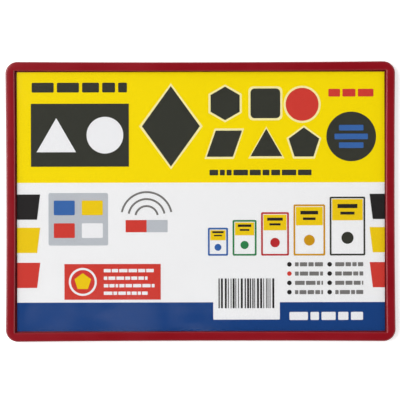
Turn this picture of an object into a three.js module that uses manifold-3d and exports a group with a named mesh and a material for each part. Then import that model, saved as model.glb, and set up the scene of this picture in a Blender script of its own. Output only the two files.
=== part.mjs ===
// Magnetic document pocket for one A5 sheet, landscape.
// Millimetres, +X along the long side, +Z out of the clear front.
// The pocket lies face up, and Z = 0 is the underside of its magnets.
import * as THREE from "three";
import { mergeVertices } from "three/addons/utils/BufferGeometryUtils.js";
import Module from "manifold-3d";

const wasm = await Module();
wasm.setup();

// Sheet that the pocket holds
const cardLength = 210;
const cardWidth = 148;
const cardThickness = 0.35;
const cardShift = 0.17; // the sheet lies this far from the mouth, off centre

// Room for the sheet, measured at the middle of each side
const endPlay = 0.65;
const sidePlay = 0.35;
const pocketDepth = 0.8;
const openingRadius = 0.4;

// Outline that the front frame and the back tray share
const faceWidth = 5.1;
const cornerRadius = 6.8;
const sideWaist = 0.4; // each side is drawn in this much at its middle

// Front frame
const lipHeight = 1.2;
const lipRounding = 1;
const lipChamfer = 0.6;

// Clear front sheet
const windowThickness = 0.4;
const windowOverlap = 2.6;
const windowClearance = 0.3;

// Back tray
const floorThickness = 0.8;
const floorRounding = 0.6;
const notchRadius = 24;
const notchDepth = 4.2;

// Magnet strips and the tape that holds them
const magnetWidth = 15;
const magnetThickness = 1;
const magnetEndInset = 8.5;
const magnetSideInset = 6;
const tapeThickness = 0.15;

// Facets on curves, and how far a cutter runs past what it cuts
const curveSegments = 8;
const roundingSegments = 4;
const notchSegments = 64;
const cutterMargin = 5;

// Half sizes at the corners, where the sides aren't drawn in
const openingHalfLength = cardLength / 2 + endPlay + sideWaist;
const openingHalfWidth = cardWidth / 2 + sidePlay + sideWaist;
const outerHalfLength = openingHalfLength + faceWidth;
const outerHalfWidth = openingHalfWidth + faceWidth;

// Heights, from the magnets' underside up
const trayBase = magnetThickness + tapeThickness;
const trayHeight = floorThickness + pocketDepth;
const seamLevel = trayBase + trayHeight;
const frameHeight = windowThickness + lipHeight;

// Closed solid of a three.js geometry
function toSolid(geometry) {
  geometry.deleteAttribute("normal");
  geometry.deleteAttribute("uv");
  const merged = mergeVertices(geometry);
  const vertProperties = merged.getAttribute("position").array;
  const triVerts = merged.getIndex().array;
  return new wasm.Manifold(new wasm.Mesh({ numProp: 3, vertProperties, triVerts }));
}

// Three.js geometry of a closed solid
function toGeometry(solid) {
  const mesh = solid.getMesh();
  const geometry = new THREE.BufferGeometry();
  geometry.setAttribute("position", new THREE.BufferAttribute(mesh.vertProperties, 3));
  geometry.setIndex(new THREE.BufferAttribute(mesh.triVerts, 1));
  geometry.computeVertexNormals();
  return geometry;
}

// Rounded rectangle whose four sides curve inwards by sideWaist at their middles
function drawnInOutline(halfLength, halfWidth, radius) {
  const arcX = halfLength - radius;
  const arcY = halfWidth - radius;
  const quarter = Math.PI / 2;
  const outline = new THREE.Shape();
  outline.moveTo(-arcX, -halfWidth);
  outline.quadraticCurveTo(0, -halfWidth + 2 * sideWaist, arcX, -halfWidth);
  outline.absarc(arcX, -arcY, radius, -quarter, 0);
  outline.quadraticCurveTo(halfLength - 2 * sideWaist, 0, halfLength, arcY);
  outline.absarc(arcX, arcY, radius, 0, quarter);
  outline.quadraticCurveTo(0, halfWidth - 2 * sideWaist, -arcX, halfWidth);
  outline.absarc(-arcX, arcY, radius, quarter, 2 * quarter);
  outline.quadraticCurveTo(-halfLength + 2 * sideWaist, 0, -halfLength, -arcY);
  outline.absarc(-arcX, -arcY, radius, 2 * quarter, 3 * quarter);
  return outline;
}

// The pocket's outer outline, moved inwards all round
function insetOutline(inset) {
  return drawnInOutline(outerHalfLength - inset, outerHalfWidth - inset, cornerRadius - inset);
}

// Outline of the opening in the frame, grown outwards all round
function openingOutline(growth) {
  return drawnInOutline(
    openingHalfLength + growth,
    openingHalfWidth + growth,
    openingRadius + growth,
  );
}

// Straight prism on an outline
function prism(outline, bottom, top) {
  const options = { depth: top - bottom, bevelEnabled: false, curveSegments };
  return new THREE.ExtrudeGeometry(outline, options).translate(0, 0, bottom);
}

// Prism whose two ends are rounded over, or chamfered when it has one step
function roundedPrism(outline, bottom, top, rounding, steps) {
  const options = {
    depth: top - bottom - 2 * rounding,
    bevelThickness: rounding,
    bevelSize: rounding,
    bevelOffset: -rounding,
    bevelSegments: steps,
    curveSegments,
  };
  return new THREE.ExtrudeGeometry(outline, options).translate(0, 0, bottom + rounding);
}

// Block with its lowest corner and its size given
function block(x, y, z, sizeX, sizeY, sizeZ) {
  const geometry = new THREE.BoxGeometry(sizeX, sizeY, sizeZ);
  return geometry.translate(x + sizeX / 2, y + sizeY / 2, z + sizeZ / 2);
}

// All the space between two heights
function layer(bottom, top) {
  const reachX = outerHalfLength + cutterMargin;
  const reachY = outerHalfWidth + cutterMargin;
  return toSolid(block(-reachX, -reachY, bottom, 2 * reachX, 2 * reachY, top - bottom));
}

// Moulded ring: rounded outer edge, chamfered opening, and a seat below for the clear sheet
function frameGeometry() {
  const outer = insetOutline(0);
  const ring = toSolid(
    roundedPrism(outer, -frameHeight, frameHeight, lipRounding, roundingSegments),
  ).intersect(layer(0, frameHeight));
  const opening = toSolid(prism(openingOutline(0), -cutterMargin, frameHeight + cutterMargin));
  const flareBottom = frameHeight - lipChamfer;
  const flare = toSolid(
    roundedPrism(openingOutline(lipChamfer), flareBottom, flareBottom + cutterMargin, lipChamfer, 1),
  );
  const seatInset = faceWidth - windowOverlap - windowClearance;
  const seat = toSolid(prism(insetOutline(seatInset), -cutterMargin, windowThickness));
  return toGeometry(ring.subtract(opening).subtract(flare).subtract(seat));
}

// Clear sheet, which runs under the frame's lip all round
function windowGeometry() {
  return prism(insetOutline(faceWidth - windowOverlap), 0, windowThickness);
}

// Moulded back: a floor with a rim on three sides, open at the mouth, with a thumb notch there
function trayGeometry() {
  const outer = insetOutline(0);
  const plate = toSolid(
    roundedPrism(outer, 0, 2 * trayHeight, floorRounding, roundingSegments),
  ).intersect(layer(0, trayHeight));
  const cavity = toSolid(prism(openingOutline(0), floorThickness, trayHeight + cutterMargin));
  const mouth = toSolid(
    block(
      -outerHalfLength - cutterMargin,
      -openingHalfWidth,
      floorThickness,
      faceWidth + cutterMargin + openingRadius,
      2 * openingHalfWidth,
      pocketDepth + cutterMargin,
    ),
  );
  const notchHeight = trayHeight + 2 * cutterMargin;
  const notchCentre = -outerHalfLength + sideWaist + notchDepth - notchRadius;
  const notch = toSolid(
    new THREE.CylinderGeometry(notchRadius, notchRadius, notchHeight, notchSegments)
      .rotateX(Math.PI / 2)
      .translate(notchCentre, 0, 0),
  );
  return toGeometry(plate.subtract(cavity).subtract(mouth).subtract(notch));
}

// Printed sheet
function cardGeometry() {
  return block(-cardLength / 2, -cardWidth / 2, 0, cardLength, cardWidth, cardThickness);
}

// Strip cut from a roll, along the pocket's long side
function stripGeometry(thickness) {
  const length = 2 * (outerHalfLength - magnetEndInset);
  return block(-length / 2, -magnetWidth / 2, 0, length, magnetWidth, thickness);
}

// Named piece at its height
function piece(name, geometry, height, look) {
  const mesh = new THREE.Mesh(geometry, new THREE.MeshStandardMaterial(look));
  mesh.name = name;
  mesh.position.z = height;
  return mesh;
}

const redPlastic = { color: 0x8c1c22, roughness: 0.38, metalness: 0 };
const clearPlastic = { color: 0xf3f7f8, roughness: 0.06, metalness: 0, transparent: true, opacity: 0.25 };
const whiteCard = { color: 0xf1f1ee, roughness: 0.7, metalness: 0 };
const magnetRubber = { color: 0x2b2623, roughness: 0.85, metalness: 0 };
const whiteTape = { color: 0xdedcd3, roughness: 0.8, metalness: 0 };

const shell = new THREE.Group();
shell.add(piece("front_frame", frameGeometry(), seamLevel, redPlastic));
shell.add(piece("front_window", windowGeometry(), seamLevel, clearPlastic));
shell.add(piece("back_tray", trayGeometry(), trayBase, redPlastic));

const card = piece("insert_card", cardGeometry(), trayBase + floorThickness, whiteCard);
card.position.x = cardShift;

// One magnet strip and its tape along each long side of the back
const magnetOffset = outerHalfWidth - magnetSideInset - magnetWidth / 2;
const magnets = new THREE.Group();
for (const [side, direction] of [["upper", 1], ["lower", -1]]) {
  const strip = new THREE.Group();
  strip.position.y = direction * magnetOffset;
  strip.add(piece(`magnet_strip_${side}`, stripGeometry(magnetThickness), 0, magnetRubber));
  strip.add(piece(`tape_${side}`, stripGeometry(tapeThickness), magnetThickness, whiteTape));
  magnets.add(strip);
}

const pocket = new THREE.Group();
pocket.add(shell, card, magnets);
export default pocket;
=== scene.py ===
"""Looks of a magnetic document pocket for one A5 sheet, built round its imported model.

The moulded frame, the clear front, the moulded back, the printed sheet and the magnet strips are
surfaces worked out with numpy. Lengths are in metres, apart from the print's layout, which is in
millimetres from the middle of the sheet.
"""

import logging
import math
from dataclasses import dataclass, field
from enum import Enum
from typing import Protocol, Sequence

import bmesh
import bpy
import numpy as np
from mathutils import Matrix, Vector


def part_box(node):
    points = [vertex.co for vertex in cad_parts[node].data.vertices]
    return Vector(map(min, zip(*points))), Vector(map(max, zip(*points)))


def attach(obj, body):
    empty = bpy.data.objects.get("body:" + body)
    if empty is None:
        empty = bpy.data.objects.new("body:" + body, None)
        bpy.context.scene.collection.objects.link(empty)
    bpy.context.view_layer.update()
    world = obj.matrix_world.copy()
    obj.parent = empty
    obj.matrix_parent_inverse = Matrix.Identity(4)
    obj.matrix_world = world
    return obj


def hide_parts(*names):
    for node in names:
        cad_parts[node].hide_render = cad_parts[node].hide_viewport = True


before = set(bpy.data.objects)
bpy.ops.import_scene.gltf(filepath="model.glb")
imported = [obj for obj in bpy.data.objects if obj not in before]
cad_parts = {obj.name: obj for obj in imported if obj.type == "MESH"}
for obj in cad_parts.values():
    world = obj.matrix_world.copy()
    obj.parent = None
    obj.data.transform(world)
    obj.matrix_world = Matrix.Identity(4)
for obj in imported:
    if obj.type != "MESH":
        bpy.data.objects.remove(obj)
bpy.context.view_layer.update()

LOG = logging.getLogger("document_pocket")
MM = 0.001
ROUND = 48  # sides of a printed disc
MERGE_DISTANCE = 1e-7

Colour = tuple[float, float, float]
Link = bpy.types.NodeSocket


class Axis(Enum):
    """The row frame's axes, as places in a coordinate."""

    X = 0
    Y = 1
    Z = 2


def low(node: str, axis: Axis) -> float:
    """Return the lowest coordinate of a CAD node along an axis."""
    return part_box(node)[0][axis.value]


def high(node: str, axis: Axis) -> float:
    """Return the highest coordinate of a CAD node along an axis."""
    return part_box(node)[1][axis.value]


def srgb(red: float, green: float, blue: float) -> Colour:
    """Turn a display colour of 0 to 255 into the linear colour that shaders take.

    Args:
        red, green, blue: the display colour's parts.

    Returns:
        The linear colour.
    """
    parts = np.array([red, green, blue]) / 255
    linear = np.where(parts <= 0.04045, parts / 12.92, ((parts + 0.055) / 1.055) ** 2.4)
    return tuple(float(part) for part in linear)


@dataclass
class Surface:
    """A mesh in the making: points as rows of x, y, z, and faces as lists of point numbers."""

    points: np.ndarray = field(default_factory=lambda: np.zeros((0, 3)))
    faces: list[list[int]] = field(default_factory=list)

    def add(self, points: np.ndarray, faces: list[list[int]]) -> None:
        """Append points and faces.

        Args:
            points: rows of x, y, z.
            faces: the faces, whose numbers count from the first of those points.
        """
        start = len(self.points)
        self.points = np.vstack([self.points, points])
        self.faces += [[start + corner for corner in face] for face in faces]

    def add_sweep(self, rows: np.ndarray, closed_profile: bool) -> None:
        """Append a profile carried along a closed path.

        Point (i, j) of the grid is profile point i at path step j. A quad joins each point to the
        next along the profile and the next along the path, and the path always closes on itself.

        Args:
            rows: the grid, of shape profile points by path steps by 3.
            closed_profile: whether the last profile point also joins the first.
        """
        count, steps = rows.shape[:2]
        index = np.arange(count * steps).reshape(count, steps)
        ahead = np.roll(index, -1, axis=1)
        last = count if closed_profile else count - 1
        after = np.roll(index, -1, axis=0)[:last]
        after_ahead = np.roll(ahead, -1, axis=0)[:last]
        quads = np.stack([index[:last], ahead[:last], after_ahead, after], axis=-1)
        self.add(rows.reshape(-1, 3), quads.reshape(-1, 4).tolist())

    def cap(self, first: int, count: int, turned: bool) -> None:
        """Close a loop of consecutive points with one flat face."""
        loop = list(range(first, first + count))
        self.faces.append(loop[::-1] if turned else loop)

    def piece(self, name: str, sharp_deg: float = 35.0) -> bpy.types.Object:
        """Make the mesh and its object, with doubles merged and faces pointing outwards.

        Args:
            name: the object's name.
            sharp_deg: edges that turn by more than this stay crisp.

        Returns:
            The new object, at the origin.
        """
        mesh = bpy.data.meshes.new(name)
        mesh.from_pydata(self.points.tolist(), [], self.faces)
        shell = bmesh.new()
        shell.from_mesh(mesh)
        bmesh.ops.remove_doubles(shell, verts=shell.verts, dist=MERGE_DISTANCE)
        bmesh.ops.recalc_face_normals(shell, faces=shell.faces)
        shell.to_mesh(mesh)
        shell.free()
        made = bpy.data.objects.new(name, mesh)
        bpy.context.scene.collection.objects.link(made)
        mesh.shade_smooth()
        mesh.set_sharp_from_angle(angle=math.radians(sharp_deg))
        return made


@dataclass(frozen=True)
class Rail:
    """A closed path in the plane, anticlockwise, with its outward unit normals."""

    points: np.ndarray
    normals: np.ndarray

    def moved(self, outwards: float) -> np.ndarray:
        """Return the path moved along its normals: point plus distance times normal."""
        return self.points + outwards * self.normals

    def at(self, outwards: float, height: float | np.ndarray) -> np.ndarray:
        """Return the moved path at a height, or at one height for each point."""
        flat = self.moved(outwards)
        return np.column_stack([flat, np.broadcast_to(height, len(flat))])


@dataclass(frozen=True)
class DrawnInRectangle:
    """Rounded rectangle whose four sides curve inwards at their middles."""

    half_length: float
    half_width: float
    radius: float
    waist: float
    side_steps: int = 64
    arc_steps: int = 20

    def quarter(self, angle: float, along: float, across: float) -> tuple[np.ndarray, np.ndarray]:
        """Work out one side and the corner arc that follows it, turned by an angle.

        Before the turn the side runs along +X at the bottom. With s from -1 to 1 its points are
        (a s, -(h - w (1 - s^2))), where a is the half straight, h the half size across and w the
        waist. The arc's points are the corner centre plus radius times (cos, sin) of the angle.

        Args:
            angle: the turn, anticlockwise.
            along: half the size along the side.
            across: half the size across it.

        Returns:
            The points and their outward normals.
        """
        span = np.linspace(-1, 1, self.side_steps, endpoint=False)
        straight = along - self.radius
        side = np.column_stack([straight * span, -across + self.waist * (1 - span**2)])
        slope = -2 * self.waist * span / straight
        side_normals = np.column_stack([slope, -np.ones_like(span)])
        side_normals /= np.linalg.norm(side_normals, axis=1, keepdims=True)
        turn = np.linspace(-math.pi / 2, 0, self.arc_steps, endpoint=False)
        arc_normals = np.column_stack([np.cos(turn), np.sin(turn)])
        centre = np.array([straight, -(across - self.radius)])
        points = np.vstack([side, centre + self.radius * arc_normals])
        normals = np.vstack([side_normals, arc_normals])
        turned = np.array([
            [math.cos(angle), math.sin(angle)],
            [-math.sin(angle), math.cos(angle)],
        ])
        return points @ turned, normals @ turned

    def rail(self) -> Rail:
        """Join the four sides and their arcs.

        Returns:
            The whole outline, from the left end of the bottom side.
        """
        sizes = [(self.half_length, self.half_width), (self.half_width, self.half_length)] * 2
        parts = [self.quarter(turn * math.pi / 2, *size) for turn, size in enumerate(sizes)]
        return Rail(np.vstack([p for p, _ in parts]), np.vstack([n for _, n in parts]))


@dataclass(frozen=True)
class PocketSizes:
    """Sizes that the moulded pieces share. Those that the frame can give are read from it."""

    face_width: float = 5.1 * MM
    corner_radius: float = 6.8 * MM
    opening_radius: float = 0.4 * MM
    waist: float = 0.4 * MM
    half_length: float = high("front_frame", Axis.X)
    half_width: float = high("front_frame", Axis.Y)

    def outer(self) -> DrawnInRectangle:
        """Return the pocket's outer outline."""
        return DrawnInRectangle(self.half_length, self.half_width, self.corner_radius, self.waist)

    def opening(self) -> DrawnInRectangle:
        """Move the outline in to the edge of the frame's face.

        Returns:
            The outline of the opening in the frame, and of the hollow under it.
        """
        return DrawnInRectangle(
            self.half_length - self.face_width,
            self.half_width - self.face_width,
            self.opening_radius,
            self.waist,
        )


def eased_bevel(width: float, fall: float, easing: float, steps: int) -> np.ndarray:
    """Return a bevel with softened ends as (inset, rise) pairs, from its foot to the face.

    The straight slope goes from (0, 0) to (width, fall). Each end is a curve between the slope and
    the wall or face it meets: (1 - t)^2 times the first point, plus 2 t (1 - t) times the corner,
    plus t^2 times the last point.

    Args:
        width: how far the bevel reaches over the face.
        fall: how far it reaches down the wall.
        easing: the length of each curve's legs.
        steps: points on each curve.

    Returns:
        The pairs.
    """
    corners = np.array([[0.0, 0.0], [width, fall]])
    slope = (corners[1] - corners[0]) / np.hypot(width, fall)
    ends = [
        (corners[0] - [0, easing], corners[0], corners[0] + easing * slope),
        (corners[1] - easing * slope, corners[1], corners[1] + [easing, 0]),
    ]
    t = np.linspace(0, 1, steps)[:, None]
    return np.vstack([(1 - t) ** 2 * a + 2 * t * (1 - t) * b + t**2 * c for a, b, c in ends])


def quarter_round(radius: float, steps: int) -> np.ndarray:
    """Return a quarter circle as (inset, rise) pairs: radius (1 - cos a) and radius sin a."""
    angle = np.linspace(0, math.pi / 2, steps)
    return radius * np.column_stack([1 - np.cos(angle), np.sin(angle)])


@dataclass(frozen=True)
class Shape:
    """A flat printed shape: an outer loop and, for rings and outlines, an inner loop."""

    outer: np.ndarray
    inner: np.ndarray | None = None


def rounded_box(
    x: float,
    y: float,
    width: float,
    height: float,
    radius: float = 1e-4,
    lean: float = 0.0,
    steps: int = 6,
) -> np.ndarray:
    """Return the loop of a rounded rectangle about its centre.

    A point is the corner centre plus radius times (cos, sin), and then x gains lean times the
    height above the centre.

    Args:
        x, y: the centre.
        width, height: the size.
        radius: the corner radius.
        lean: the slant, as the tangent of its angle.
        steps: points on each corner.

    Returns:
        The loop, anticlockwise.
    """
    corner = np.repeat([0, 1, 2, 3], steps)
    turn = (corner + np.tile(np.linspace(0, 1, steps), 4)) * math.pi / 2
    signs = np.array([[1, 1], [-1, 1], [-1, -1], [1, -1]])[corner]
    loop = signs * [width / 2 - radius, height / 2 - radius]
    loop = loop + radius * np.column_stack([np.cos(turn), np.sin(turn)])
    loop[:, 0] += lean * loop[:, 1]
    return loop + [x, y]


def regular(
    x: float, y: float, radius: float, sides: int, turn: float = 0.0, squash: float = 1.0
) -> np.ndarray:
    """Return a regular polygon, or a disc when it has many sides.

    Args:
        x, y: the centre.
        radius: the distance of its corners.
        sides: the number of sides.
        turn: the first corner's angle in degrees.
        squash: the width over the height.

    Returns:
        The loop, anticlockwise.
    """
    angle = math.radians(turn) + np.linspace(0, 2 * math.pi, sides, endpoint=False)
    return np.column_stack([x + squash * radius * np.cos(angle), y + radius * np.sin(angle)])


def arch(
    x: float, y: float, outer: float, inner: float, start: float, stop: float
) -> np.ndarray:
    """Return a band of a ring between two angles in degrees.

    The points are the centre plus the outer radius times (cos, sin) of the angle on the way out,
    and the same with the inner radius on the way back.

    Args:
        x, y: the ring's centre.
        outer, inner: its radii.
        start, stop: the angles.

    Returns:
        The loop, anticlockwise.
    """
    angle = np.radians(np.linspace(start, stop, ROUND // 2))
    ray = np.column_stack([np.cos(angle), np.sin(angle)])
    return np.vstack([outer * ray, inner * ray[::-1]]) + [x, y]


def at_height(loop: np.ndarray, height: float) -> np.ndarray:
    """Return a flat loop's points with a height added."""
    return np.column_stack([loop, np.full(len(loop), height)])


class NodeSheet:
    """Adds nodes to a material's or group's tree and joins them."""

    def __init__(self, tree: bpy.types.NodeTree) -> None:
        """Keep the tree and empty it."""
        self.tree = tree
        tree.nodes.clear()

    def add(self, kind: str, inputs: dict | None = None, **settings: object) -> bpy.types.Node:
        """Add one node.

        Args:
            kind: the node's class name.
            inputs: values or sockets for its inputs, by name or number.
            settings: attributes of the node.

        Returns:
            The new node.
        """
        node = self.tree.nodes.new(kind)
        for name, value in settings.items():
            setattr(node, name, value)
        for name, value in (inputs or {}).items():
            if isinstance(value, bpy.types.NodeSocket):
                self.tree.links.new(value, node.inputs[name])
            else:
                node.inputs[name].default_value = value
        return node

    def maths(self, operation: str, first: Link | float, second: Link | float = 0.0) -> Link:
        """Add a maths node and return its result."""
        return self.add("ShaderNodeMath", {0: first, 1: second}, operation=operation).outputs[0]

    def span(self, value: Link, old: tuple[float, float], new: tuple[float, float]) -> Link:
        """Map a value smoothly from one range to another.

        Args:
            value: the value.
            old: the range it comes in.
            new: the range it goes out in.

        Returns:
            The result.
        """
        inputs = {"Value": value, "From Min": old[0], "From Max": old[1]}
        inputs |= {"To Min": new[0], "To Max": new[1]}
        node = self.add("ShaderNodeMapRange", inputs, interpolation_type="SMOOTHSTEP")
        return node.outputs["Result"]

    def blend(self, share: Link | float, first: Link | Colour, second: Link | Colour) -> Link:
        """Mix two colours.

        Args:
            share: the second colour's share.
            first, second: the colours.

        Returns:
            The result.
        """
        pair = [c if isinstance(c, bpy.types.NodeSocket) else (*c, 1.0) for c in (first, second)]
        inputs = {0: share, 6: pair[0], 7: pair[1]}
        return self.add("ShaderNodeMix", inputs, data_type="RGBA").outputs[2]

    def group(self, tree: bpy.types.NodeTree, inputs: dict) -> Link:
        """Place a node group with its own values and return its first output."""
        return self.add("ShaderNodeGroup", inputs, node_tree=tree).outputs[0]


class Effects:
    """Node groups that several materials share, each built once."""

    finer_by: float = 3.7
    broad_share: float = 0.65
    uneven_scale: float = 0.06
    pit_share: float = 0.3

    def __init__(self) -> None:
        """Build the groups."""
        self.clouding = self._clouding()
        self.grain = self._grain()

    @staticmethod
    def _new(name: str, inputs: dict[str, float], output: str) -> NodeSheet:
        """Start a group with a Vector input, number inputs and one output.

        Args:
            name: the group's name.
            inputs: the number inputs and their usual values.
            output: the output's name.

        Returns:
            The group's node sheet.
        """
        tree = bpy.data.node_groups.new(name, "ShaderNodeTree")
        tree.interface.new_socket(name="Vector", in_out="INPUT", socket_type="NodeSocketVector")
        for label, value in inputs.items():
            made = tree.interface.new_socket(
                name=label, in_out="INPUT", socket_type="NodeSocketFloat"
            )
            made.default_value = value
        tree.interface.new_socket(name=output, in_out="OUTPUT", socket_type="NodeSocketFloat")
        return NodeSheet(tree)

    @staticmethod
    def _noise(sheet: NodeSheet, vector: Link, scale: Link) -> Link:
        """Add a soft noise and return its value."""
        inputs = {"Vector": vector, "Scale": scale, "Detail": 1.0}
        return sheet.add("ShaderNodeTexNoise", inputs).outputs[0]

    def _clouding(self) -> bpy.types.NodeTree:
        """Build broad soft patches from 0 to 1: two noises in shares, with a soft contrast.

        Returns:
            The group.
        """
        sheet = self._new("soft_clouding", {"Patches per metre": 40.0, "Contrast": 0.3}, "Mask")
        vector, per_metre, contrast = sheet.add("NodeGroupInput").outputs[:3]
        broad = self._noise(sheet, vector, per_metre)
        fine = self._noise(sheet, vector, sheet.maths("MULTIPLY", per_metre, self.finer_by))
        large = sheet.maths("MULTIPLY", broad, self.broad_share)
        small = sheet.maths("MULTIPLY", fine, 1 - self.broad_share)
        total = sheet.maths("ADD", large, small)
        bottom = sheet.maths("SUBTRACT", 0.5, contrast)
        top = sheet.maths("ADD", 0.5, contrast)
        inputs = {"Value": total, "From Min": bottom, "From Max": top}
        mask = sheet.add("ShaderNodeMapRange", inputs, interpolation_type="SMOOTHSTEP")
        sheet.add("NodeGroupOutput", {"Mask": mask.outputs["Result"]})
        return sheet.tree

    def _grain(self) -> bpy.types.NodeTree:
        """Build a moulded or fibrous skin: fine pits over a broad, shallow unevenness.

        Returns:
            The group, whose output is the skin's height.
        """
        sheet = self._new("skin_grain", {"Pits per metre": 2500.0, "Unevenness": 0.5}, "Height")
        vector, per_metre, unevenness = sheet.add("NodeGroupInput").outputs[:3]
        pits = self._noise(sheet, vector, per_metre)
        broad = self._noise(sheet, vector, sheet.maths("MULTIPLY", per_metre, self.uneven_scale))
        raised = sheet.maths("MULTIPLY", broad, unevenness)
        small = sheet.maths("MULTIPLY", pits, self.pit_share)
        sheet.add("NodeGroupOutput", {"Height": sheet.maths("ADD", raised, small)})
        return sheet.tree


def start_material(name: str) -> tuple[bpy.types.Material, NodeSheet, Link]:
    """Start a material.

    Args:
        name: the material's name.

    Returns:
        The material, its node sheet and the socket of Object coordinates.
    """
    made = bpy.data.materials.new(name)
    made.use_nodes = True
    sheet = NodeSheet(made.node_tree)
    return made, sheet, sheet.add("ShaderNodeTexCoord").outputs["Object"]


def add_bump(sheet: NodeSheet, height: Link, strength: float, relief: float) -> Link:
    """Turn a height into a bump and return its normal."""
    inputs = {"Height": height, "Strength": strength, "Distance": relief}
    return sheet.add("ShaderNodeBump", inputs).outputs[0]


def close_material(sheet: NodeSheet, inputs: dict) -> None:
    """Add a Principled shader with these inputs and join it to the output."""
    shader = sheet.add("ShaderNodeBsdfPrincipled", inputs)
    sheet.add("ShaderNodeOutputMaterial", {"Surface": shader.outputs[0]})


@dataclass(frozen=True)
class MouldedPlastic:
    """Semi-gloss moulded plastic: two close shades in soft clouds, and a finely pitted skin."""

    name: str
    shade: Colour
    cloud_shade: Colour
    roughness: tuple[float, float]
    patches: float
    pits: float
    relief: float
    bump: float = 0.5
    specular: float = 0.5

    def material(self, effects: Effects) -> bpy.types.Material:
        """Build the material.

        Args:
            effects: the shared node groups.

        Returns:
            The material.
        """
        made, sheet, vector = start_material(self.name)
        cloud = sheet.group(effects.clouding, {"Vector": vector, "Patches per metre": self.patches})
        grain = sheet.group(effects.grain, {"Vector": vector, "Pits per metre": self.pits})
        close_material(sheet, {
            "Base Color": sheet.blend(cloud, self.shade, self.cloud_shade),
            "Roughness": sheet.span(cloud, (0, 1), self.roughness),
            "Specular IOR Level": self.specular,
            "Normal": add_bump(sheet, grain, self.bump, self.relief),
        })
        return made


@dataclass(frozen=True)
class ClearPlastic:
    """Clear rigid sheet: what is behind shows straight through, under a gloss.

    The gloss grows as the view gets lower. Its roughness goes from one value to another in
    patches, and the tint is what passes straight through.
    """

    name: str
    tint: Colour
    head_on: float
    grazing: float
    growth_power: float
    roughness: tuple[float, float]
    patches: float

    def material(self, effects: Effects) -> bpy.types.Material:
        """Build the material.

        The gloss takes the share F + G (1 - c)^n, where F is the share head on, G its growth, n the
        growth's power and c the cosine of the angle to the surface, alike from both of its sides.

        Args:
            effects: the shared node groups.

        Returns:
            The material.
        """
        made, sheet, vector = start_material(self.name)
        wear = sheet.group(effects.clouding, {"Vector": vector, "Patches per metre": self.patches})
        gloss = sheet.add("ShaderNodeBsdfAnisotropic", {
            "Color": (1, 1, 1, 1),
            "Roughness": sheet.span(wear, (0, 1), self.roughness),
        })
        clear = sheet.add("ShaderNodeBsdfTransparent", {"Color": (*self.tint, 1)})
        facing = sheet.add("ShaderNodeLayerWeight", {"Blend": 0.5}).outputs["Facing"]
        steep = sheet.maths("POWER", facing, self.growth_power)
        grown = sheet.maths("MULTIPLY", steep, self.grazing)
        share = sheet.maths("ADD", grown, self.head_on)
        inputs = {0: share, 1: clear.outputs[0], 2: gloss.outputs[0]}
        mixed = sheet.add("ShaderNodeMixShader", inputs)
        sheet.add("ShaderNodeOutputMaterial", {"Surface": mixed.outputs[0]})
        return made


@dataclass(frozen=True)
class PrintedPaper:
    """Coated card or a printed ink on it: a faint mottle and the card's fibres under the gloss."""

    name: str
    shade: Colour
    mottle: float
    roughness: tuple[float, float]
    patches: float = 900.0
    fibres: float = 5000.0
    unevenness: float = 0.8
    relief: float = 0.01 * MM
    bump: float = 0.3
    specular: float = 0.12

    def material(self, effects: Effects) -> bpy.types.Material:
        """Build the material.

        Args:
            effects: the shared node groups.

        Returns:
            The material.
        """
        made, sheet, vector = start_material(self.name)
        cloud = sheet.group(effects.clouding, {"Vector": vector, "Patches per metre": self.patches})
        fibres = sheet.group(effects.grain, {
            "Vector": vector,
            "Pits per metre": self.fibres,
            "Unevenness": self.unevenness,
        })
        darker = tuple(part * (1 - self.mottle) for part in self.shade)
        close_material(sheet, {
            "Base Color": sheet.blend(cloud, self.shade, darker),
            "Roughness": sheet.span(cloud, (0, 1), self.roughness),
            "Specular IOR Level": self.specular,
            "Normal": add_bump(sheet, fibres, self.bump, self.relief),
        })
        return made


@dataclass(frozen=True)
class PaleFloor:
    """Matt pale board, a very little uneven in shade.

    The lift makes it look lighter than it is without more light on the object.
    """

    name: str
    shade: Colour
    roughness: float
    lift: float
    patches: float = 6.0
    mottle: float = 0.01
    specular: float = 0.1

    def material(self) -> bpy.types.Material:
        """Build the material, whose lift shows to the camera, in gloss and through clear sheets.

        Returns:
            The material.
        """
        made, sheet, vector = start_material(self.name)
        inputs = {"Vector": vector, "Scale": self.patches, "Detail": 0.0}
        cloud = sheet.add("ShaderNodeTexNoise", inputs).outputs[0]
        darker = tuple(part * (1 - self.mottle) for part in self.shade)
        rays = sheet.add("ShaderNodeLightPath").outputs
        seen = sheet.maths("MAXIMUM", rays["Is Camera Ray"], rays["Is Glossy Ray"])
        seen = sheet.maths("MAXIMUM", seen, rays["Is Transmission Ray"])
        close_material(sheet, {
            "Base Color": sheet.blend(cloud, self.shade, darker),
            "Roughness": self.roughness,
            "Specular IOR Level": self.specular,
            "Emission Color": (1, 1, 1, 1),
            "Emission Strength": sheet.maths("MULTIPLY", seen, self.lift),
        })
        return made


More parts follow.
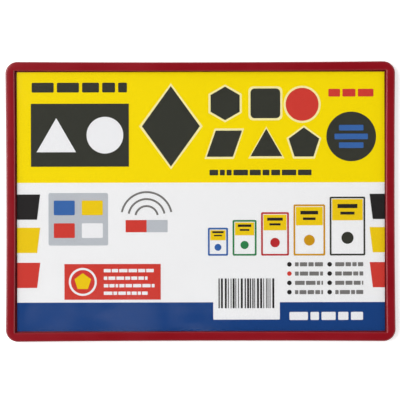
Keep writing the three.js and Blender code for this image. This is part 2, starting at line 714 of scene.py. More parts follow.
@dataclass(frozen=True)
class CalenderedRubber:
    """Flexible magnet or tape: rolled streaks along X and a matt, fine skin."""

    name: str
    shade: Colour
    streak_shade: Colour
    roughness: tuple[float, float]
    streaks: float
    stretch: tuple[float, float, float] = (0.02, 1.0, 1.0)
    contrast: float = 0.25
    pits: float = 3500.0
    streak_relief: float = 0.4
    relief: float = 0.04 * MM
    bump: float = 0.5
    specular: float = 0.35

    def material(self, effects: Effects) -> bpy.types.Material:
        """Build the material.

        Args:
            effects: the shared node groups.

        Returns:
            The material.
        """
        made, sheet, vector = start_material(self.name)
        mapping = sheet.add("ShaderNodeMapping", {"Vector": vector, "Scale": self.stretch})
        streak = sheet.group(effects.clouding, {
            "Vector": mapping.outputs[0],
            "Patches per metre": self.streaks,
            "Contrast": self.contrast,
        })
        grain = sheet.group(effects.grain, {"Vector": vector, "Pits per metre": self.pits})
        height = sheet.maths("ADD", grain, sheet.maths("MULTIPLY", streak, self.streak_relief))
        close_material(sheet, {
            "Base Color": sheet.blend(streak, self.shade, self.streak_shade),
            "Roughness": sheet.span(streak, (0, 1), self.roughness),
            "Specular IOR Level": self.specular,
            "Normal": add_bump(sheet, height, self.bump, self.relief),
        })
        return made


Finish = MouldedPlastic | ClearPlastic | PrintedPaper | CalenderedRubber


class Slot(Enum):
    """The record's slots. The strips each keep one, but every piece is given its finish directly.
    """

    FRAME = "frame_plastic"
    TRAY = "tray_plastic"
    CLEAR = "clear_plastic"
    CARD = "printed_card"
    MAGNET = "magnet_rubber"
    TAPE = "mounting_tape"


class Workshop:
    """Makes each finish once, dresses the pieces and hands them to the frame."""

    def __init__(self) -> None:
        """Build the shared effects."""
        self.effects = Effects()
        self.materials: dict[Finish, bpy.types.Material] = {}

    def dress(
        self, piece: bpy.types.Object, finish: Finish, replaced: Sequence[str] = ()
    ) -> None:
        """Dress a piece and hand it over.

        Args:
            piece: the object.
            finish: what it is made of.
            replaced: the CAD nodes that it stands for.
        """
        if finish not in self.materials:
            self.materials[finish] = finish.material(self.effects)
        piece.data.materials.append(self.materials[finish])
        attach(piece, "root")
        if replaced:
            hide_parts(*replaced)
        LOG.info("%s: %d faces, %s", piece.name, len(piece.data.polygons), finish.name)


@dataclass
class MouldedFrame:
    """Front ring: a flat face with a slight crown, rounded edges and a seat for the clear sheet."""

    sizes: PocketSizes
    finish: MouldedPlastic
    edge_radius: float = 1.0 * MM
    edge_steps: int = 12
    lip_width: float = 0.6 * MM
    lip_fall: float = 0.5 * MM
    lip_easing: float = 0.12 * MM
    lip_steps: int = 5
    seam_radius: float = 0.15 * MM
    seam_steps: int = 4
    crown: float = 0.07 * MM
    crown_steps: int = 9
    seat_inset: float = 2.2 * MM
    sharp_deg: float = 50.0

    def build(self, workshop: Workshop) -> None:
        """Sweep the section round the pocket and place it.

        Every row of the section is either the outer outline moved inwards by a distance, or the
        opening's outline moved outwards, at a height. Between the two round edges, rows go from
        one outline to the other by shares w, at the edge's height plus crown (1 - (2w - 1)^2).

        Args:
            workshop: where the piece is dressed.
        """
        outer = self.sizes.outer().rail()
        inner = self.sizes.opening().rail()
        seam = low("front_frame", Axis.Z)
        top = high("front_frame", Axis.Z) - self.crown
        seat = high("front_window", Axis.Z)
        rows = [
            outer.at(-inset, seam + self.seam_radius - rise)
            for inset, rise in quarter_round(self.seam_radius, self.seam_steps)[::-1]
        ]
        rows += [
            outer.at(-inset, top - self.edge_radius + rise)
            for inset, rise in quarter_round(self.edge_radius, self.edge_steps)
        ]
        lip = eased_bevel(self.lip_width, self.lip_fall, self.lip_easing, self.lip_steps)[::-1]
        near, far = outer.at(-self.edge_radius, top), inner.at(lip[0][0], top)
        for share in np.linspace(0, 1, self.crown_steps + 2)[1:-1]:
            row = (1 - share) * near + share * far
            row[:, 2] += self.crown * (1 - (2 * share - 1) ** 2)
            rows.append(row)
        rows += [inner.at(inset, top - self.lip_fall + rise) for inset, rise in lip]
        rows += [inner.at(0, seat), outer.at(-self.seat_inset, seat)]
        rows.append(outer.at(-self.seat_inset, seam))
        surface = Surface()
        surface.add_sweep(np.array(rows), closed_profile=True)
        piece = surface.piece("moulded_frame", self.sharp_deg)
        workshop.dress(piece, self.finish, ["front_frame"])


@dataclass
class MouldedBack:
    """Back tray: a floor with a rim on three sides, open at the mouth, with a thumb notch there."""

    sizes: PocketSizes
    finish: MouldedPlastic
    floor_thickness: float = 0.8 * MM
    edge_radius: float = 0.6 * MM
    edge_steps: int = 8
    underside_inset: float = 1.8 * MM
    seam_radius: float = 0.15 * MM
    seam_steps: int = 4
    notch_radius: float = 24 * MM
    notch_depth: float = 4.2 * MM
    sharp_deg: float = 40.0

    def notched(self, outline: Rail) -> Rail:
        """Draw the mouth side in along the thumb notch.

        Where the notch's circle (x - c)^2 + y^2 = r^2 reaches further in than the outline, the
        point moves to the circle at the same y, and its normal points to the circle's centre.

        Args:
            outline: the outer outline.

        Returns:
            The outline with the notch.
        """
        x, y = outline.points.T
        middle = -self.sizes.half_length + self.sizes.waist
        centre = middle + self.notch_depth - self.notch_radius
        reach = centre + np.sqrt(np.clip(self.notch_radius**2 - y**2, 0, None))
        cut = (x < 0) & (np.abs(y) < self.notch_radius) & (reach > x)
        points, normals = outline.points.copy(), outline.normals.copy()
        points[cut, 0] = reach[cut]
        normals[cut] = (np.array([centre, 0.0]) - points[cut]) / self.notch_radius
        return Rail(points, normals)

    def build(self, workshop: Workshop) -> None:
        """Sweep the back's section round the pocket and place it.

        The section goes from the underside round the lower edge, up the wall to a height H, across
        to the opening's outline and down to the floor. H is the rim's height on three sides and
        the floor's on the mouth side, where the point pairs at each end of the rim stand upright.

        Args:
            workshop: where the piece is dressed.
        """
        outer = self.notched(self.sizes.outer().rail())
        inner = self.sizes.opening().rail()
        base = low("back_tray", Axis.Z)
        floor = base + self.floor_thickness
        rim = high("back_tray", Axis.Z)
        mouth_half = self.sizes.half_width - self.sizes.face_width
        mouth = (outer.points[:, 0] < 0) & (np.abs(outer.points[:, 1]) < mouth_half)
        start = int(np.argmax(mouth & ~np.roll(mouth, 1)))
        stop = int(np.argmax(mouth & ~np.roll(mouth, -1)))
        order = np.sort(np.append(np.arange(len(mouth)), [start, stop]))
        low_side = mouth[order].copy()
        low_side[np.searchsorted(order, start)] = False
        low_side[np.searchsorted(order, stop) + 1] = False
        outer = Rail(outer.points[order], outer.normals[order])
        inner = Rail(inner.points[order], inner.normals[order])
        height = np.where(low_side, floor, rim)
        rows = [outer.at(-self.underside_inset, base)]
        rows += [
            outer.at(-inset, base + self.edge_radius - rise)
            for inset, rise in quarter_round(self.edge_radius, self.edge_steps)[::-1]
        ]
        rows += [
            outer.at(-inset, height - self.seam_radius + rise)
            for inset, rise in quarter_round(self.seam_radius, self.seam_steps)
        ]
        rows += [inner.at(0, height), inner.at(0, floor)]
        surface = Surface()
        surface.add_sweep(np.array(rows), closed_profile=False)
        steps = len(order)
        surface.cap(0, steps, turned=True)
        surface.cap((len(rows) - 1) * steps, steps, turned=False)
        piece = surface.piece("moulded_back", self.sharp_deg)
        workshop.dress(piece, self.finish, ["back_tray"])


@dataclass
class ClearSheet:
    """Clear front, which lies a little uneven between its held edges."""

    sizes: PocketSizes
    finish: ClearPlastic
    wave_height: float = 0.12 * MM
    held_edge: float = 12 * MM
    inset: float = 2.5 * MM
    steps: int = 48
    sharp_deg: float = 50.0
    waves: tuple[tuple[float, float, float, float], ...] = (
        (0.40, 9.0, 4.0, 0.6),
        (0.30, -14.0, 11.0, 2.1),
        (0.20, 21.0, 17.0, 4.4),
        (0.10, 37.0, -29.0, 1.2),
    )

    def unevenness(self, x: np.ndarray, y: np.ndarray) -> np.ndarray:
        """Work out the sheet's rise off its plane.

        It is a sum of waves, each a share of the wave height times the sine of (u x + v y) turns
        plus a phase, faded to nothing towards the edges by a smooth step over the held edge.

        Args:
            x, y: the places.

        Returns:
            The rise at each.
        """
        total = sum(
            share * np.sin(2 * math.pi * (u * x + v * y) + phase)
            for share, u, v, phase in self.waves
        )
        reach_x = self.sizes.half_length - self.sizes.face_width - np.abs(x)
        reach_y = self.sizes.half_width - self.sizes.face_width - np.abs(y)
        inside = np.clip(np.minimum(reach_x, reach_y) / self.held_edge, 0, 1)
        return self.wave_height * total * inside**2 * (3 - 2 * inside)

    def build(self, workshop: Workshop) -> None:
        """Draw the sheet's outline in towards its middle, above and below, and join the rows.

        A point is its share of the outline's point, from nearly 0 in the middle to 1 at the edge,
        and its height is the sheet's plane plus the unevenness there.

        Args:
            workshop: where the piece is dressed.
        """
        lowest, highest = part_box("front_window")
        outline = DrawnInRectangle(
            self.sizes.half_length - self.inset,
            self.sizes.half_width - self.inset,
            self.sizes.corner_radius - self.inset,
            self.sizes.waist,
        ).rail()
        shares = np.linspace(1 / self.steps, 1, self.steps)
        flat = shares[:, None, None] * outline.points[None]
        rise = self.unevenness(flat[..., 0], flat[..., 1])[..., None]
        above = np.concatenate([flat, highest.z + rise], axis=-1)
        below = np.concatenate([flat, lowest.z + rise], axis=-1)[::-1]
        surface = Surface()
        surface.add_sweep(np.concatenate([above, below]), closed_profile=False)
        count = len(outline.points)
        surface.cap(0, count, turned=True)
        surface.cap((2 * self.steps - 1) * count, count, turned=False)
        piece = surface.piece("clear_sheet", self.sharp_deg)
        workshop.dress(piece, self.finish, ["front_window"])


@dataclass
class Strip:
    """Bar cut from a roll, with worn-round long edges: a magnet strip or its tape."""

    node: str
    name: str
    slot: Slot
    finish: CalenderedRubber
    edge_radius: float
    steps: int = 60
    corner_steps: int = 5
    sharp_deg: float = 40.0

    def build(self, workshop: Workshop) -> None:
        """Carry a rounded rectangle along X and close both ends.

        The section's points are the corner centres plus the edge radius times (cos, sin).

        Args:
            workshop: where the piece is dressed.
        """
        lowest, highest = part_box(self.node)
        middle, size = (highest + lowest) / 2, highest - lowest
        section = rounded_box(
            middle.y, middle.z, size.y, size.z, self.edge_radius, steps=self.corner_steps
        )
        stations = np.linspace(lowest.x, highest.x, self.steps)
        grid = np.zeros((self.steps, len(section), 3))
        grid[:, :, 0] = stations[:, None]
        grid[:, :, 1:] = section
        surface = Surface()
        surface.add_sweep(grid, closed_profile=False)
        surface.cap(0, len(section), turned=True)
        surface.cap((self.steps - 1) * len(section), len(section), turned=False)
        piece = surface.piece(self.name, self.sharp_deg)
        workshop.dress(piece, self.finish, [self.node])


class Ink(Enum):
    """The print's flat colours, each with its place in the order of printing."""

    WHITE = ("white", srgb(243, 243, 244), 3)
    YELLOW = ("yellow", srgb(248, 221, 0), 1)
    BLUE = ("blue", srgb(24, 65, 128), 1)
    CHARCOAL = ("charcoal", srgb(56, 57, 50), 4)
    CREAM = ("cream", srgb(250, 238, 170), 2)
    RED = ("red", srgb(208, 62, 53), 5)
    GREEN = ("green", srgb(48, 128, 76), 5)
    AZURE = ("azure", srgb(52, 98, 168), 5)
    CRIMSON = ("crimson", srgb(186, 44, 48), 5)
    OCHRE = ("ochre", srgb(204, 150, 24), 5)
    STEEL = ("steel", srgb(188, 192, 198), 4)
    GREY = ("grey", srgb(120, 118, 116), 6)
    SKY = ("sky", srgb(60, 104, 170), 6)
    PAPER = ("paper", srgb(240, 240, 242), 7)
    GOLD = ("gold", srgb(238, 202, 20), 8)
    BLACK = ("black", srgb(40, 38, 38), 9)

    def __init__(self, label: str, shade: Colour, order: int) -> None:
        """Keep the ink's label, its colour and its place in the order of printing."""
        self.label, self.shade, self.order = label, shade, order


Spot = tuple[float, float]


@dataclass
class Press:
    """Prints flat shapes and makes each ink a thin raised layer on the sheet.

    Places and sizes are in millimetres from the middle of the sheet, as it is read.
    """

    face: float
    shift: float
    step: float = 0.012 * MM
    block_lengths: tuple[float, float] = (0.8, 2.6)
    block_gap: float = 0.32
    block_rounding: float = 0.12
    shortest_block: float = 0.3
    seed: int = 5
    layers: dict[Ink, list[Shape]] = field(default_factory=dict)

    def __post_init__(self) -> None:
        """Start the seeded chance that spaces blocks and bars."""
        self.chance = np.random.default_rng(self.seed)

    def put(self, ink: Ink, outer: np.ndarray, inner: np.ndarray | None = None) -> None:
        """Print one shape."""
        self.layers.setdefault(ink, []).append(Shape(outer, inner))

    def ring(self, ink: Ink, middle: Spot, outer: float, inner: float) -> None:
        """Print a ring between two radii."""
        self.put(ink, regular(*middle, outer, ROUND), regular(*middle, inner, ROUND))

    def outlined(self, ink: Ink, edge: Ink, loop: np.ndarray, growth: float) -> None:
        """Print a shape over a larger copy of itself in another ink.

        Args:
            ink, edge: the inks of the shape and of the larger copy.
            loop: the shape.
            growth: how far the copy stands out on each side.
        """
        middle = (loop.min(0) + loop.max(0)) / 2
        half = (loop.max(0) - loop.min(0)) / 2
        self.put(edge, middle + (loop - middle) * (1 + growth / half))
        self.put(ink, loop)

    def block_line(self, ink: Ink, start: Spot, length: float, height: float) -> None:
        """Print a line of small blocks in place of words.

        Args:
            ink: the ink.
            start: the line's left end, on its middle.
            length: the line's length.
            height: the blocks' height, which also scales their lengths and gaps.
        """
        reach = 0.0
        while reach < length:
            width = min(height * self.chance.uniform(*self.block_lengths), length - reach)
            if width > self.shortest_block * height:
                x = start[0] + reach + width / 2
                rounding = self.block_rounding * height
                self.put(ink, rounded_box(x, start[1], width, height, rounding))
            reach += width + self.block_gap * height

    def layer(self, ink: Ink) -> bpy.types.Object:
        """Make one ink's layer, in which each shape is a thin slab on the sheet's face.

        Args:
            ink: the ink.

        Returns:
            The layer.
        """
        surface = Surface()
        heights = (self.face, self.face + self.step * ink.order)
        for shape in self.layers[ink]:
            outer = shape.outer * MM + [self.shift, 0]
            rows = [at_height(outer, height) for height in heights]
            start = len(surface.points)
            if shape.inner is None:
                surface.add_sweep(np.array(rows), closed_profile=False)
                surface.cap(start, len(outer), turned=True)
                surface.cap(start + len(outer), len(outer), turned=False)
            else:
                inner = shape.inner * MM + [self.shift, 0]
                rows += [at_height(inner, height) for height in reversed(heights)]
                surface.add_sweep(np.array(rows), closed_profile=True)
        return surface.piece(f"print_{ink.label}")


class Motif(Protocol):
    """A part of the print."""

    def put_on(self, press: Press) -> None:
        """Print it."""


@dataclass
class ColourFields:
    """Yellow field above, blue band below, and white card between them."""

    length: float = 210
    yellow: Spot = (10.8, 74)
    blue: Spot = (-74, -57.6)

    def put_on(self, press: Press) -> None:
        """Print both fields, each from its bottom to its top."""
        for ink, (bottom, top) in ((Ink.YELLOW, self.yellow), (Ink.BLUE, self.blue)):
            press.put(ink, rounded_box(0, (bottom + top) / 2, self.length, top - bottom))


@dataclass
class DarkPanel:
    """Charcoal panel with a white triangle and a white disc, under a line of blocks."""

    middle: Spot = (-69, 38)
    size: Spot = (56, 36)
    triangle: Spot = (-82.5, 34.8)
    triangle_radius: float = 13
    disc: Spot = (-54.7, 38)
    disc_radius: float = 10.5
    line_start: Spot = (-96.5, 65.2)
    line_length: float = 57
    line_height: float = 5.6

    def put_on(self, press: Press) -> None:
        """Print the panel, its two shapes and the line.

        Args:
            press: what prints it.
        """
        press.put(Ink.CHARCOAL, rounded_box(*self.middle, *self.size))
        press.put(Ink.PAPER, regular(*self.triangle, self.triangle_radius, 3, 90))
        press.put(Ink.PAPER, regular(*self.disc, self.disc_radius, ROUND))
        press.block_line(Ink.CHARCOAL, self.line_start, self.line_length, self.line_height)


@dataclass
class BoldShapes:
    """A tall diamond and two rows of three bold shapes, each with a cream edge.

    A polygon or disc is given as x, y, radius, sides and turn, and a box as x, y, width, height,
    corner radius and lean.
    """

    diamond: Spot = (-17, 43)
    diamond_radius: float = 23
    diamond_squash: float = 0.72
    diamond_edge: float = 1.6
    hexagon: tuple[float, ...] = (14, 56, 9.6, 6, 30)
    square: tuple[float, ...] = (37, 56, 17, 17, 2.4)
    disc: tuple[float, ...] = (58, 55.4, 9.4, ROUND)
    leaning_square: tuple[float, ...] = (13.5, 33, 15, 15, 0.4, 0.35)
    triangle: tuple[float, ...] = (37.5, 31, 10.5, 3, 90)
    pentagon: tuple[float, ...] = (59, 33, 9.2, 5, 90)
    edge: float = 1.2
    line_start: Spot = (5, 16.5)
    line_length: float = 60
    line_height: float = 3.2

    def put_on(self, press: Press) -> None:
        """Print the diamond, the six shapes and the line under them.

        Args:
            press: what prints it.
        """
        diamond = regular(*self.diamond, self.diamond_radius, 4, 0, self.diamond_squash)
        press.outlined(Ink.CHARCOAL, Ink.CREAM, diamond, self.diamond_edge)
        for ink, loop in (
            (Ink.CHARCOAL, regular(*self.hexagon)),
            (Ink.CHARCOAL, rounded_box(*self.square)),
            (Ink.RED, regular(*self.disc)),
            (Ink.CHARCOAL, rounded_box(*self.leaning_square)),
            (Ink.CHARCOAL, regular(*self.triangle)),
            (Ink.CHARCOAL, regular(*self.pentagon)),
        ):
            press.outlined(ink, Ink.CREAM, loop, self.edge)
        press.block_line(Ink.CHARCOAL, self.line_start, self.line_length, self.line_height)


@dataclass
class BarredBadge:
    """Charcoal disc with three blue bars, under a red line of blocks."""

    middle: Spot = (86, 37)
    radius: float = 14.2
    bar_widths: tuple[float, ...] = (14, 19, 14)
    bar_height: float = 3.2
    bar_corner: float = 0.5
    bar_pitch: float = 5
    line_start: Spot = (73, 62)
    line_length: float = 26
    line_height: float = 4.4

    def put_on(self, press: Press) -> None:
        """Print the disc, the bars from the top one down, and the line.

        Args:
            press: what prints it.
        """
        press.put(Ink.CHARCOAL, regular(*self.middle, self.radius, ROUND))
        for row, width in enumerate(self.bar_widths):
            y = self.middle[1] + self.bar_pitch * (1 - row)
            bar = rounded_box(self.middle[0], y, width, self.bar_height, self.bar_corner)
            press.put(Ink.SKY, bar)
        press.block_line(Ink.RED, self.line_start, self.line_length, self.line_height)


@dataclass
class SideFlags:
    """Charcoal, yellow and red flags that run off both ends of the sheet.

    The heights are those of their middles, and each pair of widths is at the bottom and the top.
    """

    edge: float = 105
    heights: tuple[float, ...] = (-3, -22, -42)
    half_height: float = 7.2
    left_widths: Spot = (11.4, 13.2)
    right_widths: Spot = (6.8, 8.6)

    def put_on(self, press: Press) -> None:
        """Print the flags, whose free ends slant between their two widths.

        Args:
            press: what prints it.
        """
        for ink, y in zip((Ink.BLACK, Ink.GOLD, Ink.RED), self.heights):
            bottom, top = y - self.half_height, y + self.half_height
            for side, (lower, upper) in ((-1, self.left_widths), (1, self.right_widths)):
                end = side * self.edge
                corners = [(end, bottom), (end - side * lower, bottom)]
                corners += [(end - side * upper, top), (end, top)]
                press.put(ink, np.array(corners[::-side]))


@dataclass
class SampleRow:
    """Five upright frames that grow in size along one base line.

    The first frame's size, and what each next one gains, are widths and heights. A bar is its rise
    above the frame's middle, its width and its height, as shares of the frame's. The disc's drop
    is a share of the height, and its radius a share of the width.
    """

    left: float = 4
    base: float = -31
    gap: float = 2.6
    first: Spot = (11.5, 16)
    growth: Spot = (2.2, 4.4)
    border: float = 1.0
    corners: Spot = (0.8, 0.3)
    margin: float = 1.4
    head_share: float = 0.36
    bars: tuple[tuple[float, float, float], ...] = ((0.34, 0.56, 0.07), (0.22, 0.4, 0.05))
    disc_drop: float = 0.2
    disc_share: float = 0.17
    edges: tuple[Ink, ...] = (Ink.AZURE, Ink.GREEN, Ink.CRIMSON, Ink.OCHRE, Ink.CHARCOAL)

    def put_on(self, press: Press) -> None:
        """Print the frames, with a yellow head, two bars and a disc in each.

        Args:
            press: what prints it.
        """
        left = self.left
        for number, edge in enumerate(self.edges):
            width, height = (
                size + number * more for size, more in zip(self.first, self.growth)
            )
            x, y = left + width / 2, self.base + height / 2
            inner = (width - 2 * self.border, height - 2 * self.border)
            head = self.head_share * height
            head_y = y + height / 2 - self.margin - head / 2
            outline = rounded_box(x, y, width, height, self.corners[0])
            press.put(edge, outline, rounded_box(x, y, *inner, self.corners[1]))
            press.put(Ink.GOLD, rounded_box(x, head_y, width - 2 * self.margin, head))
            for rise, wide, high_share in self.bars:
                bar = (wide * width, high_share * height)
                press.put(Ink.BLACK, rounded_box(x, y + rise * height, *bar))
            disc = (x, y - self.disc_drop * height)
            press.put(edge, regular(*disc, self.disc_share * width, ROUND))
            left += width + self.gap


@dataclass
class TilePanel:
    """Steel-grey panel with two rows of two coloured tiles."""

    middle: Spot = (-70, -10)
    size: Spot = (34, 30)
    corner: float = 1
    tile: Spot = (12, 8.4)
    tile_corner: float = 0.6
    pitch: Spot = (16, 13)
    tiles: tuple[Ink, ...] = (Ink.SKY, Ink.GOLD, Ink.RED, Ink.PAPER)

    def put_on(self, press: Press) -> None:
        """Print the panel and the tiles, from the upper left one on.

        Args:
            press: what prints it.
        """
        x, y = self.middle
        press.put(Ink.STEEL, rounded_box(x, y, *self.size, self.corner))
        for number, ink in enumerate(self.tiles):
            tile_x = x + self.pitch[0] * (number % 2 - 0.5)
            tile_y = y + self.pitch[1] * (0.5 - number // 2)
            press.put(ink, rounded_box(tile_x, tile_y, *self.tile, self.tile_corner))


@dataclass
class BarMagnetSign:
    """Bar magnet, half red and half grey, under three field lines.

    The half is the size of one of its two ends.
    """

    middle: Spot = (-31, -14)
    half: Spot = (12, 7)
    arch_rise: float = 5
    arch_radii: tuple[float, ...] = (7, 11, 15)
    arch_width: float = 1.1
    arch_angles: Spot = (12, 168)

    def put_on(self, press: Press) -> None:
        """Print the two halves side by side, and the field lines.

        Args:
            press: what prints it.
        """
        x, y = self.middle
        press.put(Ink.RED, rounded_box(x - self.half[0] / 2, y, *self.half))
        press.put(Ink.STEEL, rounded_box(x + self.half[0] / 2, y, *self.half))
        for radius in self.arch_radii:
            inner = radius - self.arch_width
            press.put(Ink.GREY, arch(x, y + self.arch_rise, radius, inner, *self.arch_angles))


@dataclass
class Legend:
    """Two columns of dots, each dot with a line of grey blocks."""

    start: Spot = (50.5, -36)
    pitch: Spot = (23, 5.3)
    columns: int = 2
    rows: int = 4
    dot_radius: float = 1.3
    line_offset: float = 3.2
    line_length: float = 16
    line_height: float = 2.3
    red_place: tuple[int, int] = (0, 1)

    def put_on(self, press: Press) -> None:
        """Print the columns from the left, each from its top, with one dot in red.

        Args:
            press: what prints it.
        """
        for column in range(self.columns):
            for row in range(self.rows):
                x = self.start[0] + self.pitch[0] * column
                y = self.start[1] - self.pitch[1] * row
                dot = Ink.RED if (column, row) == self.red_place else Ink.BLACK
                press.put(dot, regular(x, y, self.dot_radius, ROUND))
                start = (x + self.line_offset, y)
                press.block_line(Ink.GREY, start, self.line_length, self.line_height)


@dataclass
class BarLabel:
    """White label over the edge of the blue band, with upright bars of mixed widths.

    The bars run from one x to another.
    """

    middle: Spot = (26, -54)
    size: Spot = (38, 27)
    corner: float = 0.4
    bars: Spot = (10, 41.5)
    bar_y: float = -52.5
    bar_height: float = 17
    widths: tuple[float, ...] = (0.45, 0.7, 1.1)

    def put_on(self, press: Press) -> None:
        """Print the label, then bars and gaps of chance widths from left to right.

        Args:
            press: what prints it.
        """
        press.put(Ink.WHITE, rounded_box(*self.middle, *self.size, self.corner))
        reach, end = self.bars
        while reach < end:
            width, gap = (float(size) for size in press.chance.choice(self.widths, 2))
            press.put(Ink.BLACK, rounded_box(reach + width / 2, self.bar_y, width, self.bar_height))
            reach += width + gap


@dataclass
class RedPanel:
    """Red panel with a ringed yellow pentagon and four white lines of blocks."""

    middle: Spot = (-50.5, -45.8)
    size: Spot = (55, 20.4)
    stamp: Spot = (-67.5, -45.8)
    stamp_radii: Spot = (8, 6.8)
    pentagon_radius: float = 5
    line_start: Spot = (-55.5, -39.4)
    line_pitch: float = 4.3
    line_lengths: tuple[float, ...] = (29, 25, 29, 25)
    line_height: float = 1.9

    def put_on(self, press: Press) -> None:
        """Print the panel, the stamp and the lines from the top one down.

        Args:
            press: what prints it.
        """
        press.put(Ink.RED, rounded_box(*self.middle, *self.size))
        press.ring(Ink.PAPER, self.stamp, *self.stamp_radii)
        press.put(Ink.GOLD, regular(*self.stamp, self.pentagon_radius, 5, 90))
        for row, length in enumerate(self.line_lengths):
            start = (self.line_start[0], self.line_start[1] - self.line_pitch * row)
            press.block_line(Ink.PAPER, start, length, self.line_height)


@dataclass
class FootLine:
    """White line of blocks on the blue band."""

    start: Spot = (50.5, -65.5)
    length: float = 42
    height: float = 4.6

    def put_on(self, press: Press) -> None:
        """Print the line."""
        press.block_line(Ink.PAPER, self.start, self.length, self.height)


@dataclass
class PrintedInsert:
    """The sheet in the pocket: white card under one thin layer for each ink.

    The design is plain: fields of colour, bars, rings, dots and polygons, with lines of small
    blocks where a printed sheet carries words.
    """

    card: PrintedPaper
    ink_mottle: float = 0.05
    ink_roughness: tuple[float, float] = (0.4, 0.48)
    corner: float = 0.15 * MM
    motifs: tuple[Motif, ...] = (
        ColourFields(),
        DarkPanel(),
        BoldShapes(),
        BarredBadge(),
        SideFlags(),
        SampleRow(),
        TilePanel(),
        BarMagnetSign(),
        Legend(),
        BarLabel(),
        RedPanel(),
        FootLine(),
    )

    def sheet(self) -> bpy.types.Object:
        """Make the card itself: a slab with cut edges, on the outline of its solid.

        Returns:
            The card.
        """
        lowest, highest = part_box("insert_card")
        middle, size = (lowest + highest) / 2, highest - lowest
        loop = rounded_box(middle.x, middle.y, size.x, size.y, self.corner)
        surface = Surface()
        rows = [at_height(loop, height) for height in (lowest.z, highest.z)]
        surface.add_sweep(np.array(rows), closed_profile=False)
        surface.cap(0, len(loop), turned=True)
        surface.cap(len(loop), len(loop), turned=False)
        return surface.piece("insert_sheet")

    def build(self, workshop: Workshop) -> None:
        """Make the card and every ink's layer.

        Args:
            workshop: where the pieces are dressed.
        """
        workshop.dress(self.sheet(), self.card, ["insert_card"])
        lowest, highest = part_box("insert_card")
        press = Press(face=highest.z, shift=(lowest.x + highest.x) / 2)
        for motif in self.motifs:
            motif.put_on(press)
        for ink in sorted(press.layers, key=lambda one: one.order):
            name = f"ink_{ink.label}"
            ink_finish = PrintedPaper(name, ink.shade, self.ink_mottle, self.ink_roughness)
            workshop.dress(press.layer(ink), ink_finish)


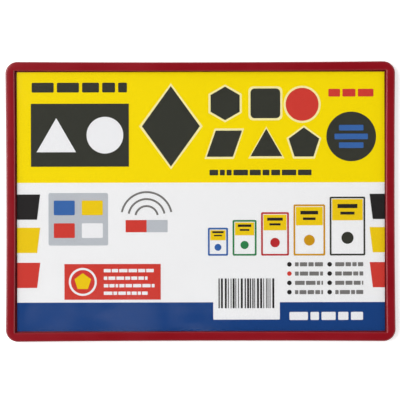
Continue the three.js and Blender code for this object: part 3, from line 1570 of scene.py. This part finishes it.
@dataclass
class Studio:
    """Pale floor, soft light mostly from the left, and a camera straight above.

    A glow is a pale patch of sky that the clear sheet mirrors: how far its middle lies east and
    north of overhead as tangents, its reach in degrees and its level.
    """

    picture_side: int = 400
    card_pixels: float = 367.6
    card_length: float = 210 * MM
    camera_height: float = 0.8
    sensor: float = 36.0
    offset_pixels: tuple[float, float] = (0.5, 1.5)
    roll_deg: float = 0.12
    key_power: float = 68.5
    key_size: tuple[float, float] = (2.2, 1.6)
    key_place: tuple[float, float, float] = (-2.12, 0.6, 2.24)
    world_strength: float = 1.22
    overhead: tuple[Spot, Spot] = ((0.72, 0.94), (1.0, 0.015))
    sideways: tuple[Spot, Spot] = ((0.1, 1.0), (0.4, 1.2))
    floor_half: float = 20.0
    floor_finish: tuple[Colour, float, float] = ((0.82, 0.82, 0.82), 0.9, 0.46)
    glows: tuple[tuple[float, float, float, float], ...] = (
        (-0.056, -0.085, 1.9, 0.45),
        (-0.104, -0.085, 1.2, 0.3),
        (-0.137, 0.089, 0.7, 0.35),
        (-0.013, -0.072, 0.5, 0.3),
        (-0.006, -0.078, 0.5, 0.35),
        (0.001, -0.084, 0.5, 0.45),
        (0.004, -0.090, 0.4, 0.5),
    )

    def camera(self) -> None:
        """Hang the camera so that the sheet's length covers its share of the picture.

        The lens is sensor times height over the width of the field, and the camera stands off
        the middle by as much as the object does in the picture.
        """
        pixel = self.card_length / self.card_pixels
        field_width = pixel * self.picture_side
        lens = bpy.data.cameras.new("camera")
        lens.sensor_width = self.sensor
        lens.lens = self.sensor * self.camera_height / field_width
        holder = bpy.data.objects.new("camera", lens)
        right, down = (pixel * offset for offset in self.offset_pixels)
        face = high("insert_card", Axis.Z)
        holder.location = (-right, down, face + self.camera_height)
        holder.rotation_euler = (0, 0, -math.radians(self.roll_deg))
        bpy.context.scene.collection.objects.link(holder)
        bpy.context.scene.camera = holder

    def key_light(self) -> None:
        """Hang one large soft lamp up to the left, turned to the object."""
        lamp = bpy.data.lights.new("key", "AREA")
        lamp.shape = "RECTANGLE"
        lamp.size, lamp.size_y = self.key_size
        lamp.energy = self.key_power
        holder = bpy.data.objects.new("key", lamp)
        place_at = np.array(self.key_place)
        holder.location = place_at
        down = place_at / np.linalg.norm(place_at)
        holder.rotation_euler = (math.acos(down[2]), 0, math.atan2(down[1], down[0]) + math.pi / 2)
        bpy.context.scene.collection.objects.link(holder)

    @staticmethod
    def glow(
        sheet: NodeSheet,
        direction: Link,
        east: float,
        north: float,
        reach_deg: float,
        level: float,
    ) -> Link:
        """Add a soft pale patch to the sky.

        It is full at the middle and fades out where the cosine to the middle passes that of the
        reach.

        Args:
            sheet: the world's nodes.
            direction: the direction looked in.
            east, north: how far the patch's middle lies off overhead, as tangents.
            reach_deg: how far the patch reaches from its middle.
            level: its level at the middle.

        Returns:
            The patch's level in that direction.
        """
        middle = np.array([east, north, 1.0]) / math.sqrt(east**2 + north**2 + 1)
        near = sheet.add(
            "ShaderNodeVectorMath", {0: direction, 1: tuple(middle)}, operation="DOT_PRODUCT"
        ).outputs["Value"]
        return sheet.span(near, (math.cos(math.radians(reach_deg)), 1.0), (0.0, level))

    def world(self) -> None:
        """Light all round, dark straight overhead, and brightest at the left and right."""
        world = bpy.data.worlds.new("studio")
        bpy.context.scene.world = world
        world.use_nodes = True
        sheet = NodeSheet(world.node_tree)
        direction = sheet.add("ShaderNodeTexCoord").outputs["Generated"]
        split = sheet.add("ShaderNodeSeparateXYZ", {"Vector": direction})
        overhead = sheet.span(split.outputs["Z"], *self.overhead)
        across = sheet.maths("ABSOLUTE", split.outputs["X"])
        level = sheet.maths("MULTIPLY", overhead, sheet.span(across, *self.sideways))
        for glow in self.glows:
            level = sheet.maths("ADD", level, self.glow(sheet, direction, *glow))
        strength = sheet.maths("MULTIPLY", level, self.world_strength)
        background = sheet.add(
            "ShaderNodeBackground", {"Color": (1, 1, 1, 1), "Strength": strength}
        )
        sheet.add("ShaderNodeOutputWorld", {"Surface": background.outputs[0]})

    def floor(self) -> None:
        """Lay a wide pale floor under the magnets."""
        half = self.floor_half
        corners = [(-half, -half, 0), (half, -half, 0), (half, half, 0), (-half, half, 0)]
        mesh = bpy.data.meshes.new("floor")
        mesh.from_pydata(corners, [], [(0, 1, 2, 3)])
        ground = bpy.data.objects.new("floor", mesh)
        bpy.context.scene.collection.objects.link(ground)
        mesh.materials.append(PaleFloor("floor_paper", *self.floor_finish).material())

    def build(self) -> None:
        """Set up the camera, the light and the floor."""
        bpy.context.scene.view_settings.view_transform = "Standard"
        self.camera()
        self.key_light()
        self.world()
        self.floor()


def main() -> None:
    """Build every sub-assembly in order."""
    logging.basicConfig(level=logging.INFO, format="%(name)s: %(message)s")
    Studio().build()
    workshop = Workshop()
    sizes = PocketSizes()
    front_plastic = MouldedPlastic(
        name="dark_red_plastic",
        shade=srgb(130, 4, 18),
        cloud_shade=srgb(138, 8, 24),
        roughness=(0.29, 0.34),
        patches=30,
        pits=2600,
        relief=0.02 * MM,
    )
    back_plastic = MouldedPlastic(
        name="dark_red_back",
        shade=srgb(120, 6, 16),
        cloud_shade=srgb(128, 12, 22),
        roughness=(0.38, 0.48),
        patches=30,
        pits=1400,
        relief=0.06 * MM,
    )
    clear = ClearPlastic(
        name="clear_plastic",
        tint=(0.998, 0.998, 0.998),
        head_on=0.03,
        grazing=0.5,
        growth_power=5.0,
        roughness=(0.05, 0.08),
        patches=60,
    )
    card = PrintedPaper(
        name="coated_card", shade=srgb(241, 241, 242), mottle=0.02, roughness=(0.42, 0.5)
    )
    magnet = CalenderedRubber(
        name="flexible_magnet",
        shade=srgb(46, 41, 38),
        streak_shade=srgb(60, 54, 50),
        roughness=(0.78, 0.88),
        streaks=900,
    )
    foam = CalenderedRubber(
        name="foam_tape",
        shade=srgb(222, 219, 208),
        streak_shade=srgb(206, 203, 192),
        roughness=(0.82, 0.92),
        streaks=500,
    )
    MouldedFrame(sizes, front_plastic).build(workshop)
    MouldedBack(sizes, back_plastic).build(workshop)
    ClearSheet(sizes, clear).build(workshop)
    PrintedInsert(card).build(workshop)
    for side in ("upper", "lower"):
        Strip(
            node=f"magnet_strip_{side}",
            name=f"magnet_{side}",
            slot=Slot.MAGNET,
            finish=magnet,
            edge_radius=0.12 * MM,
        ).build(workshop)
        Strip(
            node=f"tape_{side}",
            name=f"tape_layer_{side}",
            slot=Slot.TAPE,
            finish=foam,
            edge_radius=0.03 * MM,
        ).build(workshop)


if __name__ == "__main__":
    main()
